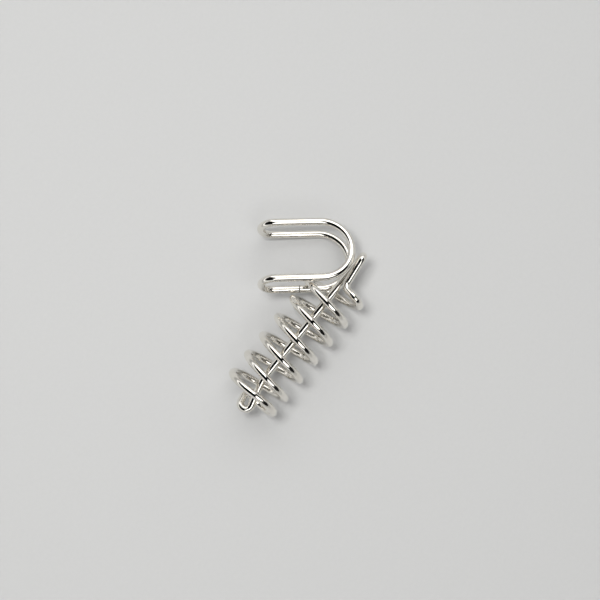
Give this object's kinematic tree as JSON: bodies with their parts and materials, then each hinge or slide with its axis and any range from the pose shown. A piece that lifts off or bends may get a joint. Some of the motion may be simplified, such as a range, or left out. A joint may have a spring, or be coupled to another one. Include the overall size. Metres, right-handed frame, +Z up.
{
  "type": "wire disentanglement puzzle",
  "caption": "Bent-wire disentanglement puzzle: a horseshoe-shaped wire ring hooked onto a closed wire spiral with a rod along its axis.",
  "frame": {"origin": "on the table, under the middle of the bounding box of the puzzle as it lies flat", "axes": "+X along the coil's axis from the end where the last turn tucks in to the end with the long hairpin; +Z up from the table; +Y to the side on which the horseshoe ring's free arm lies"},
  "size_m": [0.077, 0.0494, 0.0238],
  "materials": {
    "spiral_wire": "bright polished nickel plate on steel wire",
    "ring_wire": "bright polished nickel plate on steel wire"
  },
  "bodies": {
    "spiral": {"spiral": "spiral_wire"},
    "ring": {"horseshoe_ring": "ring_wire"}
  },
  "joints": [
    {"name": "ring_swing", "type": "hinge", "parent": "spiral", "child": "ring", "pos_m": [0.0201, -0.00866, 0.0152], "axis": [0.9228, 0.2998, 0.2419], "range_deg": [0, 72]}
  ]
}
